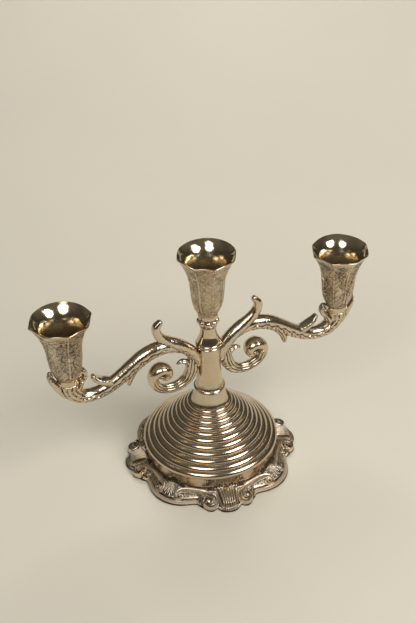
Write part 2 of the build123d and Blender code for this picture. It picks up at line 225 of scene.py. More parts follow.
# ------------------------------------------------------------------ materials
def metal(name, base, patina_and_shade, rough=0.16, rough_var=0.08, tarnish_and_shade=(0.15, 0.9), bump=0.04, tint=0.10, fine=2600.0,
          use_cav=True, tarnish_and_shade_rough=0.5, grain=0.0):
    """Worn silver plate: where the cav attribute is high the colour runs to the dark patina colour, and crests stay
    bright; cav carries real tarnish in the hollows and painted shade in recesses, grooves and deep interiors.
    """
    mt = bpy.data.materials.new(name)
    mt.use_nodes = True
    nt = mt.node_tree
    nd, ln = nt.nodes, nt.links
    bs = nd["Principled BSDF"]
    bs.inputs["Metallic"].default_value = 1.0
    tc = nd.new("ShaderNodeTexCoord")

    def noise(scale, detail=4.0, roughness=0.55):
        nn = nd.new("ShaderNodeTexNoise")
        nn.inputs["Scale"].default_value = scale
        nn.inputs["Detail"].default_value = detail
        nn.inputs["Roughness"].default_value = roughness
        ln.new(tc.outputs["Object"], nn.inputs["Vector"])
        return nn

    def ramp(source, stops):
        rp = nd.new("ShaderNodeValToRGB")
        rp.color_ramp.elements[0].position = stops[0][0]
        rp.color_ramp.elements[0].color = (*stops[0][1], 1)
        rp.color_ramp.elements[1].position = stops[-1][0]
        rp.color_ramp.elements[1].color = (*stops[-1][1], 1)
        for pos, col in stops[1:-1]:
            el = rp.color_ramp.elements.new(pos)
            el.color = (*col, 1)
        ln.new(source, rp.inputs["Fac"])
        return rp.outputs["Color"]

    def math_(op, a, b=None, clamp=False):
        mn = nd.new("ShaderNodeMath")
        mn.operation = op
        mn.use_clamp = clamp
        for i, x in enumerate((a, b)):
            if x is None:
                continue
            if isinstance(x, (int, float)):
                mn.inputs[i].default_value = x
            else:
                ln.new(x, mn.inputs[i])
        return mn.outputs[0]

    def mixc(fac, a, b, mode="MIX"):
        mx = nd.new("ShaderNodeMix")
        mx.data_type = "RGBA"
        mx.blend_type = mode
        if isinstance(fac, (int, float)):
            mx.inputs["Factor"].default_value = fac
        else:
            ln.new(fac, mx.inputs["Factor"])
        for sock, x in (("A", a), ("B", b)):
            tgt = [i for i in mx.inputs if i.name == sock and i.type == "RGBA"][0]
            if isinstance(x, tuple):
                tgt.default_value = (*x, 1)
            else:
                ln.new(x, tgt)
        return [o for o in mx.outputs if o.type == "RGBA"][0]

    broad = noise(38.0, 5.0, 0.6)
    blot = noise(210.0, 6.0, 0.7)
    warm = (base[0] * 1.04, base[1] * (1 - tint * 0.55), base[2] * (1 - tint * 1.6))
    cool = (base[0] * (1 - tint * 0.35), base[1] * (1 - tint * 0.15), base[2] * 1.03)
    col = mixc(ramp(broad.outputs["Fac"], [(0.35, (0, 0, 0)), (0.68, (1, 1, 1))]), cool, warm)
    # thin tarnish blotches
    bl = math_("MULTIPLY", ramp(blot.outputs["Fac"], [(0.50, (0, 0, 0)), (0.80, (1, 1, 1))]), 0.35)
    col = mixc(bl, col, (base[0] * 0.62, base[1] * 0.55, base[2] * 0.44))
    tarnish_and_shade_fac = None
    if use_cav:
        at = nd.new("ShaderNodeAttribute")
        at.attribute_name = "cav"
        wob = math_("MULTIPLY", math_("SUBTRACT", blot.outputs["Fac"], 0.5), 0.9)
        v = math_("ADD", at.outputs["Fac"], wob)
        mr = nd.new("ShaderNodeMapRange")
        mr.inputs["From Min"].default_value = tarnish_and_shade[0]
        mr.inputs["From Max"].default_value = tarnish_and_shade[1]
        ln.new(v, mr.inputs["Value"])
        tarnish_and_shade_fac = mr.outputs["Result"]
        # tarnish and painted shade: the colour is mixed towards the dark patina colour where cav is high
        col = mixc(tarnish_and_shade_fac, col, patina_and_shade)
    # painted shade: the cup-interior mask mixes in a slightly darker, warmer colour; the same mask also lowers
    # roughness for the polished inside
    gl = nd.new("ShaderNodeAttribute")
    gl.attribute_name = "gloss_and_shade"
    col = mixc(math_("MULTIPLY", gl.outputs["Fac"], 0.8), col, (base[0] * 0.95, base[1] * 0.93, base[2] * 0.86))
    ln.new(col, bs.inputs["Base Color"])
    r = math_("ADD", math_("MULTIPLY", math_("SUBTRACT", blot.outputs["Fac"], 0.5), rough_var * 2), rough)
    if tarnish_and_shade_fac is not None:
        r = math_("ADD", r, math_("MULTIPLY", tarnish_and_shade_fac, tarnish_and_shade_rough), clamp=True)
    r = math_("MULTIPLY", r, math_("SUBTRACT", 1.0, math_("MULTIPLY", gl.outputs["Fac"], 0.45)))
    sa = nd.new("ShaderNodeAttribute")
    sa.attribute_name = "satin"
    r = math_("ADD", r, math_("MULTIPLY", sa.outputs["Fac"], 0.42), clamp=True)
    ln.new(r, bs.inputs["Roughness"])
    bp = nd.new("ShaderNodeBump")
    bp.inputs["Strength"].default_value = 1.0
    bp.inputs["Distance"].default_value = bump * MM
    fn = noise(fine * 0.25, 3.0, 0.6)
    hgt = fn.outputs["Fac"]
    if grain:
        gr = noise(fine, 2.0, 0.5)
        hgt = math_("ADD", hgt, math_("MULTIPLY", gr.outputs["Fac"], grain))
    ln.new(hgt, bp.inputs["Height"])
    ln.new(bp.outputs["Normal"], bs.inputs["Normal"])
    return mt


SILVER = (0.665, 0.57, 0.435)
PATINA_AND_SHADE = (0.060, 0.043, 0.028)
m_polish = metal("silver_polished", (0.645, 0.55, 0.43), PATINA_AND_SHADE, rough=0.18, rough_var=0.06, tarnish_and_shade=(0.12, 1.0), bump=0.025)
m_bright = metal("silver_bright", SILVER, PATINA_AND_SHADE, rough=0.10, rough_var=0.04, tarnish_and_shade=(0.25, 1.0), bump=0.012)
m_dome = metal("silver_dome", (0.63, 0.54, 0.42), PATINA_AND_SHADE, rough=0.155, rough_var=0.06, tarnish_and_shade=(0.12, 0.9), bump=0.020)
m_cast = metal("silver_cast", (0.665, 0.578, 0.455), (0.075, 0.055, 0.038), rough=0.16, rough_var=0.07, tarnish_and_shade=(0.02, 0.70), bump=0.05)
m_cup = metal("silver_cup", SILVER, (0.125, 0.092, 0.062), rough=0.21, rough_var=0.10, tarnish_and_shade=(0.0, 1.0), bump=0.05)
m_border = metal("silver_border", (0.74, 0.645, 0.515), (0.075, 0.056, 0.038), rough=0.33, rough_var=0.08, tarnish_and_shade=(0.05, 1.0), bump=0.05, tarnish_and_shade_rough=0.3)
m_steel = metal("steel", (0.46, 0.45, 0.43), PATINA_AND_SHADE, rough=0.34, use_cav=False)
m_brass = metal("brass", (0.62, 0.47, 0.24), PATINA_AND_SHADE, rough=0.38, use_cav=False)

for n_, m_ in (("tie_rod", m_steel), ("clamp_washer", m_steel), ("clamp_nut", m_steel), ("stud_left", m_steel),
               ("stud_right", m_steel), ("sleeve_bush_lower", m_brass), ("sleeve_bush_upper", m_brass)):
    o = NODES[n_]
    o.data.materials.clear()
    o.data.materials.append(m_)

# ------------------------------------------------------------------ base dome
RING_EDGES = [(15.9, 60.6), (19.0, 57.6), (22.1, 54.5), (25.4, 51.3), (28.8, 48.0), (32.6, 44.6),
              (36.3, 40.7), (40.1, 36.9), (44.1, 33.1), (48.4, 29.4), (53.0, 25.8), (56.8, 21.8)]
outer = [(3.4, 60.6), (15.2, 60.6)]
for i, ((r0, z0), (r1, z1)) in enumerate(zip(RING_EDGES, RING_EDGES[1:])):
    L = math.hypot(r1 - r0, z1 - z0)
    tx, tz = (r1 - r0) / L, (z1 - z0) / L
    nx, nz = -tz, tx
    deep = 0.55 if i == 5 else 0.0
    outer.append((r0 - nx * (0.25 + deep), z0 - nz * (0.25 + deep)))
    for k in range(0, 13):
        t = (k + 0.35) / 12.7
        # fuller towards the lower, outer side
        h = 1.12 * (math.sin(math.pi * min(1, max(0, t))) ** 0.62) * (0.86 + 0.26 * t)
        outer.append((r0 + tx * L * t + nx * h, z0 + tz * L * t + nz * h))
outer += [(56.95, 21.5), (56.3, 20.9), (55.95, 20.4), (55.9, 17.5), (55.9, 11.8), (55.9, 11.22), (54.7, 11.22), (54.7, 20.0)]
outer += [(r - 1.25, z - 1.25) for r, z in RING_EDGES[::-1][1:]]
outer += [(15.0, 59.0), (3.4, 59.0)]
lathe("dome", round_profile(outer, 0.08, 2), "base", m_dome, ["base_dome"], seg=288, scale=0.16, rounds=10)

# ------------------------------------------------------------------ collar, rings, sleeve, neck, knop
z1 = box_mm("base_collar")[1][2]
col_outer = smooth_curve([(15.7, 60.62), (14.7, 62.6), (13.6, 66.2), (12.9, 69.6), (12.55, z1 - 0.6)], 6)
prof = [tuple(p) for p in col_outer] + [(12.3, z1), (3.4, z1), (3.4, z1 - 1.6), (11.2, z1 - 1.6), (11.9, 66.0), (13.4, 60.62)]
lathe("collar", round_profile(prof, 0.2), "base", m_polish, ["base_collar"])

lo, hi = box_mm("lower_ring")
zr0, zr1 = lo[2], hi[2]
ring = [(3.4, zr0), (12.0, zr0)] + [(12.15 + 1.08 * math.sin(math.pi * k / 12) ** 0.8, zr0 + (zr1 - zr0) * k / 12 * 0.98) for k in range(1, 12)] + [(12.0, zr1 - 0.02), (11.9, zr1), (3.4, zr1)]
lathe("ring_lower", round_profile(ring, 0.06, 2), "branch", m_polish, ["lower_ring"])

sl0, sl1 = box_mm("column_sleeve")[0][2], box_mm("column_sleeve")[1][2]
so = smooth_curve([(11.9, sl0), (11.0, 77.9), (10.45, 82.9), (9.98, 88.9), (9.5, 98.0), (9.2, 108.0), (9.15, sl1)], 6)
prof = [tuple(p) for p in so] + [(7.8, sl1), (7.8, sl1 - 4.2), (8.6, 80.0), (8.6, sl0)]
lathe("sleeve", round_profile(prof, 0.1), "branch", m_polish, ["column_sleeve"])

zu0, zu1 = box_mm("upper_ring")[0][2], box_mm("upper_ring")[1][2]
prof = [(3.4, zu0), (9.35, zu0)]
for (a, b, rc, hh) in ((zu0, zu0 + 2.1, 9.45, 0.95), (zu0 + 2.1, zu1, 9.6, 1.0)):
    prof += [(rc + hh * math.sin(math.pi * k / 10) ** 0.8, a + (b - a) * k / 10) for k in range(0, 11)]
prof += [(9.5, zu1), (3.4, zu1)]
lathe("ring_upper", round_profile(prof, 0.05, 2), "branch", m_polish, ["upper_ring"])

zn0, zn1 = box_mm("column_neck")[0][2], box_mm("column_neck")[1][2]
no = smooth_curve([(9.9, zn0), (9.35, 120.7), (8.25, 123.2), (7.3, 125.7), (6.62, 128.7), (6.22, 131.2), (6.1, zn1)], 7)
prof = [tuple(p) for p in no] + [(3.4, zn1), (3.4, zn0)]
lathe("neck", round_profile(prof, 0.1), "branch", m_bright, ["column_neck"])


# ------------------------------------------------------------------ knop of beads
def ring_surface(name, rfun, zs, rin, body, mat, stands_for, seg=400, scale=0.16, rounds=10):
    """Closed ring whose outer radius varies with angle and height: rfun(theta grid, z grid)."""
    th = np.linspace(0, 2 * math.pi, seg, endpoint=False)
    T, Z = np.meshgrid(th, zs, indexing="ij")
    R = rfun(T, Z)
    R = np.concatenate([np.full((seg, 1), rin), R, np.full((seg, 1), rin)], 1)
    Z = np.concatenate([np.full((seg, 1), zs[0]), Z, np.full((seg, 1), zs[-1])], 1)
    v = np.stack([R * np.cos(th)[:, None], R * np.sin(th)[:, None], Z], -1).reshape(-1, 3)
    f = grid_faces(seg, len(zs) + 2, True, True)
    return build(name, v, f, body, mat, stands_for, attrs={"cav": cavity(v, f, rounds, scale) + 0.12})


zk0, zk1 = box_mm("beaded_knop")[0][2], box_mm("beaded_knop")[1][2]


def knop_r(T, Z):
    core = np.interp(Z, [zk0, 133.6, 134.6, 135.7, 136.1, 137.0, 138.9, 140.8, 141.6, 142.0, zk1],
                     [6.5, 6.95, 7.15, 6.75, 6.3, 7.0, 7.7, 7.0, 6.6, 7.3, 7.25])
    d = T % (math.pi / 4) - math.pi / 8
    rc, rb, zc = 6.35, 2.85, 138.9
    disc = rb ** 2 - (rc * np.sin(d)) ** 2 - (Z - zc) ** 2
    bead = np.where(disc > 0, rc * np.cos(d) + np.sqrt(np.maximum(disc, 0)), 0)
    return np.maximum(core, bead)


ring_surface("knop", knop_r, np.linspace(zk0, zk1, 74), 3.42, "branch", m_polish, ["beaded_knop"])


# ------------------------------------------------------------------ tulip cups
def value_noise(seed, n=64):
    g = np.random.default_rng(seed).random((n, n))

    def f(u, v):
        u, v = np.asarray(u) % n, np.asarray(v) % n
        i, j = np.floor(u).astype(int), np.floor(v).astype(int)
        a, b = u - i, v - j
        a, b = a * a * (3 - 2 * a), b * b * (3 - 2 * b)
        i2, j2 = (i + 1) % n, (j + 1) % n
        i, j = i % n, j % n
        return (g[i, j] * (1 - a) * (1 - b) + g[i2, j] * a * (1 - b) + g[i, j2] * (1 - a) * b + g[i2, j2] * a * b)
    return f


def smoothstep(a, b, x):
    t = np.clip((x - a) / (b - a), 0, 1)
    return t * t * (3 - 2 * t)


INNER_FLARE = smooth_curve([(22.1, 57.35), (19.9, 55.7), (17.75, 53.65), (16.14, 51.7), (14.85, 49.6), (13.6, 46.9), (12.7, 44.0), (12.05, 41.1),
                            (11.55, 38.0), (11.29, 34.7)], 5)


def tulip(name, cx, z0, turn, body, stands_for, bore_r, bore_depth, seed, tips, chase_depth, lift):
    """Cast cup: chased outside, plain polished flare inside, softly lobed rim."""
    seg = 512
    th = np.linspace(0, 2 * math.pi, seg, endpoint=False)
    key = np.array([(8.0, 0.0), (8.05, 1.2), (8.0, 3.0), (8.35, 5.0), (9.6, 7.8), (11.1, 11.6), (12.1, 15.6), (12.8, 21.0),
                    (13.3, 27.0), (13.9, 33.3), (14.7, 37.5), (15.8, 41.8), (17.2, 46.2), (18.9, 50.4), (20.8, 54.0), (22.6, 56.6)])
    oc = smooth_curve(key, 7)
    oz, orr = oc[:, 1], oc[:, 0]
    nz = 150
    zs = np.concatenate([np.linspace(0, 6, 10)[:-1], np.linspace(6, 50, nz)[:-1], np.linspace(50, 56.6, 22)])
    T, Z = np.meshgrid(th, zs, indexing="ij")
    R0 = np.interp(Z, oz, orr)
    tl = T - math.radians(turn)
    loc8 = (tl + math.pi / 8) % (math.pi / 4) - math.pi / 8      # 0 at each rim tip
    loc4 = (tl + math.pi / 4) % (math.pi / 2) - math.pi / 4      # 0 at each main rib
    leaf = (tl) % (math.pi / 2) - math.pi / 4                    # 0 on each leaf's midrib
    ax = np.abs(leaf) * R0
    xr = np.abs(loc4) * R0
    n1, n2, n3 = value_noise(seed), value_noise(seed + 1), value_noise(seed + 2)
    live = smoothstep(5.4, 7.5, Z)
    top = 1 - smoothstep(50.5, 54.5, Z)
    # lobed leaf standing in each of four panels
    wl = np.interp(Z, [7.5, 9.5, 14, 17.6, 19.4, 24, 27.8, 29.6, 34, 37.2, 38.6, 42, 44.6, 47.8],
                   [3.6, 6.6, 7.7, 6.9, 4.9, 7.5, 6.7, 4.6, 6.4, 5.3, 3.6, 4.4, 2.6, 0.0])
    wl = wl + 0.5 * (n3(tl * 10.2 + 4, Z * 0.30) - 0.5)
    inside = smoothstep(-0.30, 0.30, wl - ax)
    edge = np.exp(-((wl - ax) / 0.34) ** 2)
    swell = np.sqrt(np.clip(1 - (ax / np.maximum(wl, 0.5)) ** 2, 0, 1))
    vein = 1 - smoothstep(0.0, 0.42, np.abs((((Z - 1.15 * ax) / 4.9) % 1.0) - 0.5) * 2)
    mid = np.exp(-(ax / 0.50) ** 2)
    midg = np.exp(-((ax - 1.05) / 0.36) ** 2)
    rib = np.exp(-(xr / 0.62) ** 2) * smoothstep(9, 12, Z)
    ribg = np.exp(-((xr - 1.25) / 0.38) ** 2) * smoothstep(9, 12, Z)
    stip = n1((tl / (2 * math.pi) * 64), Z / 1.15) - 0.5
    stip2 = n2((tl / (2 * math.pi) * 64 * 2) + 0.31 * Z, Z / 0.75) - 0.5
    worn = n3(tl * 64 / (2 * math.pi) * 0.25, Z * 0.12)
    h = chase_depth * (0.30 * inside * (0.4 + 0.6 * swell) - 0.20 * edge * (0.4 + worn) - 0.12 * vein * inside * (0.3 + worn) + 0.22 * mid * inside - 0.20 * midg * inside
                       + (0.46 * stip + 0.14 * stip2) * (0.30 + 0.70 * (1 - inside)) * (0.45 + 0.9 * worn))
    h += 0.46 * rib - 0.24 * ribg
    sc_ = 8.6 + 1.3 * np.cos(loc8 * 8)
    h += 0.30 * np.exp(-((Z - sc_) / 0.55) ** 2) - 0.36 * np.exp(-((Z - sc_ - 1.1) / 0.5) ** 2)
    h *= live * top
    # lobed rim: outward tips of unequal strength, low waves between them
    idx = np.round((tl - loc8) / (math.pi / 4)).astype(int) % 8
    strength = np.array(tips, float)[idx]
    al = np.abs(loc8)
    tip = np.exp(-al / 0.085) * 0.55 + np.exp(-(al / 0.16) ** 2) * 0.45
    k = smoothstep(40, 56.6, Z) ** 1.5
    hand = n2(tl * 8 / (2 * math.pi) + 3.3, 5.1 + 0 * Z) - 0.5
    far = np.clip(np.cos(T - math.radians(67.5)), 0, 1)
    rim_r = 0.45 * lift * far + strength * tip * 1.05 - 0.05 + 0.22 * np.cos(loc8 * 8) + 0.30 * hand
    rim_z = 0.55 * (0.5 - 0.5 * np.cos(loc8 * 8)) - 0.45 * strength * tip + 0.40 * hand + 0.55 * lift * far
    Rr = np.minimum(R0 + h + k * rim_r, 24.1)
    Zr = Z + k * rim_z
    # thick, slightly turned-over lip under the edge
    Rr = Rr + 0.28 * np.exp(-((Z - 54.9) / 0.8) ** 2) * (0.6 + 0.8 * worn)
    Rt, Zt = Rr[:, -1:], Zr[:, -1:]
    drr, drz = rim_r[:, -1:], rim_z[:, -1:]
    rows_r, rows_z = [Rr], [Zr]
    for a in (0.15, 0.38, 0.62, 0.85):
        ang = math.pi * a
        rows_r.append(Rt - 0.36 * (1 - np.cos(ang)))
        rows_z.append(Zt + 0.40 * np.sin(ang) + 0.35 * a)
    one = np.ones_like(Rt)
    for r_, z_ in INNER_FLARE:
        w_ = min(1.0, max(0.0, (z_ - 53.4) / 3.95)) ** 1.5
        off = (Rt - 0.80) - INNER_FLARE[0][0]
        offz = (Zt + 0.36) - INNER_FLARE[0][1]
        w2 = min(1.0, max(0.0, (z_ - 44.0) / 13.35))
        up_ = 0.55 * lift * far[:, :1]
        rows_r.append(one * r_ + (off - 0.45 * lift * far[:, :1]) * w_ + 0.45 * lift * far[:, :1] * w2)
        rows_z.append(one * z_ + (offz - up_) * w_ + up_ * w2)
    for r_, z_ in ((11.26, 30.0), (11.26, 24.0), (11.26, 19.4), (11.1, 18.75), (10.6, 18.3), (7.9, 16.15), (7.4, 16.0), (4.0, 16.0), (0.6, 16.0)):
        rows_r.append(one * r_)
        rows_z.append(one * z_)
    RR = np.concatenate(rows_r, 1)
    ZZ = np.concatenate(rows_z, 1)
    for r_, z_ in ((0.6, bore_depth), (bore_r - 0.1, bore_depth), (bore_r, bore_depth - 0.3), (bore_r, 0.3), (bore_r + 0.3, 0.0), (7.7, 0.0)):
        RR = np.concatenate([RR, one * r_], 1)
        ZZ = np.concatenate([ZZ, one * z_], 1)
    nv = RR.shape[1]
    v = np.stack([cx + RR * np.cos(th)[:, None], RR * np.sin(th)[:, None], z0 + ZZ], -1).reshape(-1, 3)
    f = grid_faces(seg, nv, True, True)
    cv = 0.42 * cavity(v, f, 22, 0.34)
    col = np.arange(nv)[None, :] + 0 * ZZ
    inner = (ZZ > 15.9) & (col >= Rr.shape[1] + 1)
    cv = np.where(inner.ravel(), -0.25, cv)
    # painted shade: the inside of the cup is made darker with depth below the rim
    depth_shade = np.where(inner, 0.12 + smoothstep(54.0, 41, ZZ) * 0.85, 0).ravel()
    # tarnish and painted shade on the outside: darker in the chased grooves, the matted field round the leaves and low
    # on the foot, lighter on the ribs, with random wear
    chase_tarnish_and_shade = np.zeros_like(ZZ)
    chase_tarnish_and_shade[:, :Rr.shape[1]] = (0.16 + chase_depth * (0.12 + 0.16 * (1 - inside) - 0.50 * stip * (1 - 0.5 * inside) - 0.40 * stip2 + 0.45 * (worn - 0.42) + 0.42 * edge + 0.25 * vein * inside)) * live * top + 0.16 * (1 - smoothstep(4, 9, Z)) - 0.30 * rib * live * top
    return build(name, v, f, body, m_cup, stands_for, attrs={"cav": cv + depth_shade + chase_tarnish_and_shade.ravel(), "gloss_and_shade": inner.ravel().astype(float)})


tulip("tulip_centre", 0.0, CENTRE_CUP_Z, CENTRE_TURN, "cup_centre", ["cup_centre"], 3.05, 12.6, 11, (1.0, 0.5, 0.35, 0.55, 0.9, 0.5, 0.45, 0.35), 0.55, 0.4)
tulip("tulip_right", ARM_X, ARM_CUP_Z, 0.0, "cup_right", ["cup_right"], 2.55, 11.0, 23, (1.25, 0.4, 0.55, 0.45, 1.1, 0.5, 0.35, 0.55), 1.0, 1.5)
tulip("tulip_left", -ARM_X, ARM_CUP_Z, 180.0, "cup_left", ["cup_left"], 2.55, 11.0, 37, (1.25, 0.45, 0.35, 0.6, 1.25, 0.4, 0.5, 0.4), 1.0, 1.1)


# ------------------------------------------------------------------ cast arms
# limb = centreline (x, z), radius in the arm's plane, half-width across it as a ratio, all in mm for the right arm
LIMBS = {
    "stem": dict(p=[(10.2, 100.5), (11.6, 107.0), (15.6, 113.6), (21.4, 119.6), (28.2, 124.6), (35.0, 129.4), (40.2, 134.2),
                    (43.2, 139.8), (43.0, 144.8), (40.3, 147.9)],
                 r=[4.2, 4.9, 5.1, 5.2, 5.2, 4.5, 4.1, 3.8, 3.4, 2.7], w=[1.1, 1.1, 1.1, 1.08, 1.05, 1.0, 1.0, 1.05, 1.1, 1.05]),
    "branch": dict(p=[(22.5, 118.0), (28.6, 121.8), (36.0, 124.2), (45.0, 124.2), (55.0, 120.7), (65.0, 114.3), (75.0, 107.2),
                      (84.6, 101.4), (93.0, 98.3), (100.6, 97.8), (107.8, 99.8), (113.2, 104.4), (116.0, 109.6), (116.2, 114.2)],
                   r=[4.0, 4.8, 5.4, 6.0, 6.1, 5.9, 5.7, 5.5, 5.4, 5.6, 6.0, 6.5, 7.0, 7.6],
                   w=[1.0, 1.0, 1.0, 1.0, 1.0, 1.0, 1.0, 1.0, 1.0, 1.02, 1.05, 1.07, 1.08, 1.06]),
    "scroll": dict(p=[(13.6, 109.0), (14.6, 102.0), (15.9, 94.6), (19.4, 87.8), (25.6, 83.4), (33.0, 82.0), (40.2, 83.7), (45.9, 88.4),
                      (48.2, 95.0), (46.4, 101.2), (41.6, 104.1), (36.8, 102.2), (35.6, 97.8), (38.0, 94.6), (41.2, 95.4)],
                   r=[3.6, 4.9, 5.3, 4.9, 4.4, 4.2, 4.2, 4.3, 4.6, 5.0, 5.0, 4.6, 3.9, 3.1, 2.0],
                   w=[1.0, 1.0, 1.0, 1.0, 1.0, 1.0, 1.05, 1.1, 1.2, 1.35, 1.45, 1.5, 1.55, 1.6, 1.5]),
    "dip": dict(p=[(80.0, 104.3), (84.6, 106.2), (89.2, 108.2), (93.6, 111.0), (96.2, 114.2)], r=[3.3, 3.6, 3.5, 3.1, 2.4],
                w=[1.3, 1.4, 1.5, 1.5, 1.3]),
    "drop": dict(p=[(60.0, 114.6), (64.4, 109.8), (67.0, 104.6), (68.2, 100.4), (68.5, 97.6)], r=[4.2, 3.9, 3.3, 2.7, 1.8],
                 w=[1.0, 1.05, 1.1, 1.0, 0.9]),
    "inner": dict(p=[(17.0, 101.2), (20.0, 104.2), (23.6, 105.6), (27.0, 104.4)], r=[2.8, 2.4, 2.0, 1.2], w=[1.2, 1.2, 1.2, 1.1]),
    "volute_in": dict(p=[(109.4, 108.0), (107.0, 112.0), (103.9, 115.4), (102.2, 119.0), (103.4, 122.5), (105.8, 122.7), (106.6, 120.7), (105.4, 119.4)],
                      r=[3.2, 2.6, 2.1, 1.9, 1.7, 1.4, 1.2, 1.0], w=[1.3, 1.5, 1.7, 1.9, 2.0, 2.1, 2.2, 2.2]),
    "volute_out": dict(p=[(119.0, 105.4), (122.8, 110.2), (125.8, 115.0), (128.2, 119.6), (129.8, 123.6), (129.2, 126.6), (127.6, 126.2)],
                       r=[3.6, 3.2, 2.8, 2.4, 2.0, 1.6, 1.1], w=[1.5, 1.7, 1.9, 2.0, 2.1, 2.1, 2.0]),
}
LIMBS_SAMPLED = {}
for key_, L_ in LIMBS.items():
    q = smooth_curve(np.c_[np.array(L_["p"], float), L_["r"], L_["w"]], 10)
    tng = np.gradient(q[:, :2], axis=0)
    tng /= np.linalg.norm(tng, axis=1)[:, None]
    arc = np.concatenate([[0], np.cumsum(np.linalg.norm(np.diff(q[:, :2], axis=0), axis=1))])
    LIMBS_SAMPLED[key_] = dict(c=q[:, :2], r=q[:, 2], w=q[:, 3], t=tng, n=np.c_[-tng[:, 1], tng[:, 0]], s=arc)


def tube(L, seg=28, flat=None):
    """Closed tapering tube with rounded ends; returns vertices and faces."""
    c, r, w, t, n = L["c"], L["r"], L["w"], L["t"], L["n"]
    rings = []
    ph = np.linspace(0, 2 * math.pi, seg, endpoint=False)

    def ring(cc, nn, rr, ww):
        return np.stack([cc[0] + nn[0] * rr * np.cos(ph), -ww * rr * np.sin(ph), cc[1] + nn[1] * rr * np.cos(ph)], 1)
    for a in (0.97, 0.8, 0.5):
        rings.append(ring(c[0] - t[0] * r[0] * a, n[0], r[0] * math.sqrt(1 - a * a) + 0.01, w[0]))
    for i in range(len(c)):
        rings.append(ring(c[i], n[i], r[i], w[i]))
    for a in (0.5, 0.8, 0.97):
        rings.append(ring(c[-1] + t[-1] * r[-1] * a, n[-1], r[-1] * math.sqrt(1 - a * a) + 0.01, w[-1]))
    v = np.concatenate(rings)
    k = len(rings)
    f = [tuple(q) for q in grid_faces(k, seg, False, True).tolist()]
    f.append(tuple(range(seg - 1, -1, -1)))
    f.append(tuple((k - 1) * seg + i for i in range(seg)))
    return v, f


def cast_arm():
    """Right arm as one closed casting: limbs and seat joined by a voxel remesh; the relief is added afterwards by
    chase().
    """
    vs, fs, off = [], [], 0
    for key in LIMBS_SAMPLED:
        v, f = tube(LIMBS_SAMPLED[key])
        vs.append(v)
        fs += [tuple(i + off for i in q) for q in f]
        off += len(v)
    # seat: flared socket under the cup's foot
    prof = [(0.05, 106.5), (6.2, 107.5), (7.2, 110.5), (8.0, 113.6), (8.55, 115.6), (8.5, ARM_CUP_Z - 0.06), (0.05, ARM_CUP_Z - 0.06)]
    prof = prof[::-1]
    sg = 40
    th = np.linspace(0, 2 * math.pi, sg, endpoint=False)
    pr = np.array(prof)
    v = np.stack([ARM_X + pr[:, 0][None] * np.cos(th)[:, None], pr[:, 0][None] * np.sin(th)[:, None],
                  np.repeat(pr[None, :, 1], sg, 0)], -1).reshape(-1, 3)
    f = grid_faces(sg, len(pr), True, False)
    fs += [tuple(int(i) + off for i in q) for q in f[:, ::-1]]
    m0 = len(pr)
    fs.append(tuple(off + i * m0 for i in range(sg)))
    fs.append(tuple(off + i * m0 + m0 - 1 for i in range(sg - 1, -1, -1)))
    vs.append(v)
    V = np.concatenate(vs)
    me = bpy.data.meshes.new("arm_base")
    me.from_pydata([tuple(p * MM) for p in V], [], fs)
    me.update()
    ob = bpy.data.objects.new("arm_base", me)
    bpy.context.scene.collection.objects.link(ob)
    rm = ob.modifiers.new("r", "REMESH")
    rm.mode = "VOXEL"
    rm.voxel_size = 0.00036
    rm.adaptivity = 0.0
    dg = bpy.context.evaluated_depsgraph_get()
    ev = ob.evaluated_get(dg).to_mesh()
    n_ = len(ev.vertices)
    co = np.zeros(n_ * 3)
    ev.vertices.foreach_get("co", co)
    co = co.reshape(-1, 3) / MM
    npoly = len(ev.polygons)
    lt = np.zeros(npoly, int)
    ev.polygons.foreach_get("loop_total", lt)
    li = np.zeros(len(ev.loops), int)
    ev.loops.foreach_get("vertex_index", li)
    assert (lt == 4).all()
    faces = li.reshape(-1, 4)
    ob.evaluated_get(dg).to_mesh_clear()
    bpy.data.objects.remove(ob)
    bpy.data.meshes.remove(me)
    return co, faces


def limb_coords(P, names):
    """For each point: nearest limb's index, arc length, angle round it (0 towards its left-hand side), distance/radius."""
    best = np.full(len(P), 1e9)
    out = [np.zeros(len(P), int), np.zeros(len(P)), np.zeros(len(P)), np.zeros(len(P))]
    for li_, nm in enumerate(names):
        L = LIMBS_SAMPLED[nm]
        dx = P[:, 0:1] - L["c"][None, :, 0]
        dz = P[:, 2:3] - L["c"][None, :, 1]
        d = np.sqrt(dx ** 2 + dz ** 2 + (P[:, 1:2] / L["w"][None]) ** 2) / L["r"][None]
        j = d.argmin(1)
        dd = d[np.arange(len(P)), j]
        m_ = dd < best
        best[m_] = dd[m_]
        a = dx[np.arange(len(P)), j] * L["n"][j, 0] + dz[np.arange(len(P)), j] * L["n"][j, 1]
        ph = np.arctan2(np.abs(P[:, 1]) / L["w"][j], a)
        out[0][m_] = li_
        out[1][m_] = L["s"][j][m_]
        out[2][m_] = ph[m_]
        out[3][m_] = dd[m_]
    return out


def tri(x):
    return 1 - np.abs((x % 1.0) * 2 - 1)


